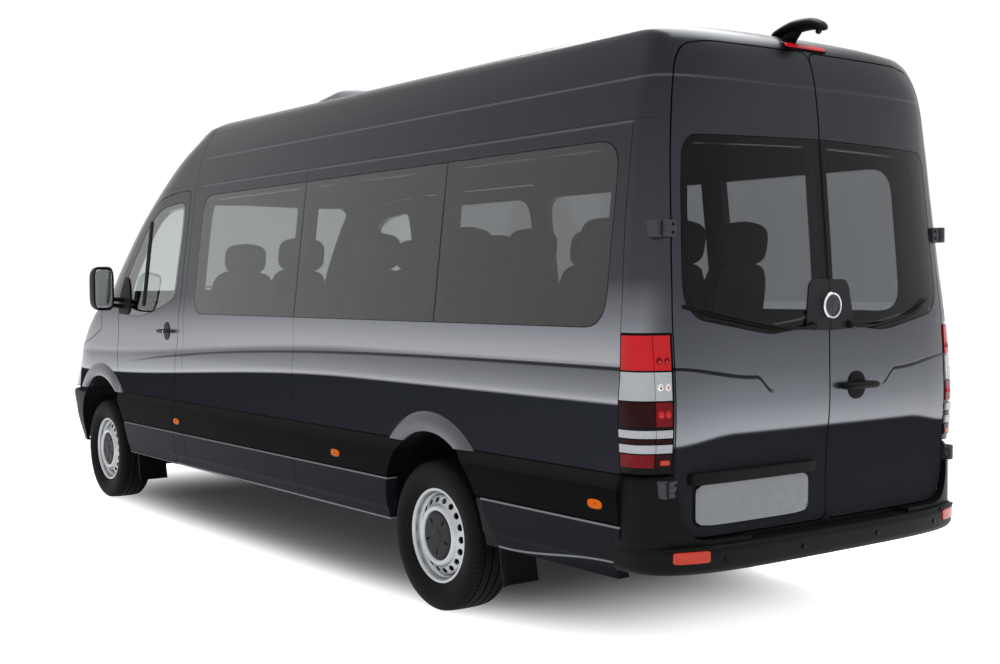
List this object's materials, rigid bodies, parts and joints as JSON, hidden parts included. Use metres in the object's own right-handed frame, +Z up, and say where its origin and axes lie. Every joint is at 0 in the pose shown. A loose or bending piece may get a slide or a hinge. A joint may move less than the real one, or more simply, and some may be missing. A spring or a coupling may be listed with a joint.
{
  "type": "long-wheelbase high-roof passenger van",
  "caption": "Dark grey high-roof passenger van with hinged cab doors, rear doors and bonnet, steering front wheels, and a windowed cabin with bench seats.",
  "frame": {"origin": "on the ground, halfway along the van's length, in its middle plane", "axes": "+X forward, +Y to the van's left, +Z up"},
  "size_m": [6.945, 2.4, 2.7],
  "materials": {
    "paint": "dark grey metallic paint with clear coat",
    "black_plastic": "grained black moulding",
    "tinted_glass": "dark privacy glass",
    "clear_glass": "lightly tinted safety glass",
    "silver_steel": "silver painted steel wheel",
    "black_iron": "black painted iron and steel",
    "tyre_rubber": "black tyre rubber",
    "seat_fabric": "dark grey woven cloth",
    "red_lens": "red and clear moulded lens",
    "clear_lens": "clear moulded lens",
    "pale_plastic": "pale grey moulded cover",
    "dark_trim": "dark grey soft-touch trim",
    "exhaust_steel": "plain exhaust steel"
  },
  "bodies": {
    "body": {"bench_seats": "seat_fabric", "cab_frame": "paint", "dashboard": "dark_trim", "driver_seat": "seat_fabric", "engine_and_gearbox": "black_iron", "exhaust": "exhaust_steel", "floor_and_frame": "black_iron", "front_bumper": "paint", "front_suspension": "black_iron", "fuel_tank": "black_plastic", "grille": "black_plastic", "head_lamp_left": "clear_lens", "head_lamp_right": "clear_lens", "passenger_seat": "seat_fabric", "rear_axle": "black_iron", "rear_bumper": "black_plastic", "rear_camera_and_brake_lamp": "black_plastic", "roof_air_unit": "pale_plastic", "roof_panel": "paint", "side_glass_left": "tinted_glass", "side_glass_right": "tinted_glass", "side_panel_left": "paint", "side_panel_right": "paint", "sliding_door": "paint", "sliding_door_glass": "tinted_glass", "tail_lamp_left": "red_lens", "tail_lamp_right": "red_lens", "windscreen": "clear_glass", "wing_left": "paint", "wing_right": "paint"},
    "bonnet": {"bonnet": "paint"},
    "front_door_left": {"front_door_left": "paint", "front_door_glass_left": "clear_glass", "mirror_left": "black_plastic"},
    "front_door_right": {"front_door_right": "paint", "front_door_glass_right": "clear_glass", "mirror_right": "black_plastic"},
    "rear_door_left": {"rear_door_left": "paint", "rear_door_glass_left": "tinted_glass"},
    "rear_door_right": {"rear_door_right": "paint", "rear_door_glass_right": "tinted_glass"},
    "steering_knuckle_left": {"steering_knuckle_left": "black_iron"},
    "steering_knuckle_right": {"steering_knuckle_right": "black_iron"},
    "wheel_front_left": {"wheel_front_left": "silver_steel", "tyre_front_left": "tyre_rubber"},
    "wheel_front_right": {"wheel_front_right": "silver_steel", "tyre_front_right": "tyre_rubber"},
    "wheel_rear_left": {"wheel_rear_left": "silver_steel", "tyre_rear_left": "tyre_rubber"},
    "wheel_rear_right": {"wheel_rear_right": "silver_steel", "tyre_rear_right": "tyre_rubber"},
    "steering_wheel": {"steering_wheel": "dark_trim"}
  },
  "joints": [
    {"name": "front_door_left_hinge", "type": "hinge", "parent": "body", "child": "front_door_left", "pos_m": [2.172, 0.9496, 0.85], "axis": [0, 0.027, -0.9996], "range_deg": [0, 68]},
    {"name": "rear_door_left_hinge", "type": "hinge", "parent": "body", "child": "rear_door_left", "pos_m": [-3.372, 0.884, 0.749], "axis": [-0.0419, 0.012, -0.999], "range_deg": [0, 180]},
    {"name": "steer_left", "type": "hinge", "parent": "body", "child": "steering_knuckle_left", "pos_m": [2.4685, 0.74, 0.356], "axis": [0, 0, 1], "range_deg": [-35, 35]},
    {"name": "spin_front_left", "type": "hinge", "parent": "steering_knuckle_left", "child": "wheel_front_left", "pos_m": [2.4685, 0.858, 0.356], "axis": [0, 1, 0], "continuous": true},
    {"name": "spin_rear_left", "type": "hinge", "parent": "body", "child": "wheel_rear_left", "pos_m": [-1.8565, 0.858, 0.356], "axis": [0, 1, 0], "continuous": true},
    {"name": "front_door_right_hinge", "type": "hinge", "parent": "body", "child": "front_door_right", "pos_m": [2.172, -0.9496, 0.85], "axis": [0, 0.027, 0.9996], "range_deg": [0, 68]},
    {"name": "rear_door_right_hinge", "type": "hinge", "parent": "body", "child": "rear_door_right", "pos_m": [-3.372, -0.884, 0.749], "axis": [0.0419, 0.012, 0.999], "range_deg": [0, 180]},
    {"name": "steer_right", "type": "hinge", "parent": "body", "child": "steering_knuckle_right", "pos_m": [2.4685, -0.74, 0.356], "axis": [0, 0, 1], "range_deg": [-35, 35]},
    {"name": "spin_front_right", "type": "hinge", "parent": "steering_knuckle_right", "child": "wheel_front_right", "pos_m": [2.4685, -0.858, 0.356], "axis": [0, 1, 0], "continuous": true},
    {"name": "spin_rear_right", "type": "hinge", "parent": "body", "child": "wheel_rear_right", "pos_m": [-1.8565, -0.858, 0.356], "axis": [0, 1, 0], "continuous": true},
    {"name": "bonnet_hinge", "type": "hinge", "parent": "body", "child": "bonnet", "pos_m": [2.472, 0, 1.41], "axis": [0, -1, 0], "range_deg": [0, 50]},
    {"name": "steering_wheel_turn", "type": "hinge", "parent": "body", "child": "steering_wheel", "pos_m": [1.8, 0.44, 1.33], "axis": [0.6428, 0, -0.766], "range_deg": [-540, 540]}
  ],
  "couplings": [
    {"joint": "steer_right", "follows": "steer_left", "ratio": 1},
    {"joint": "steering_wheel_turn", "follows": "steer_left", "ratio": -15}
  ]
}
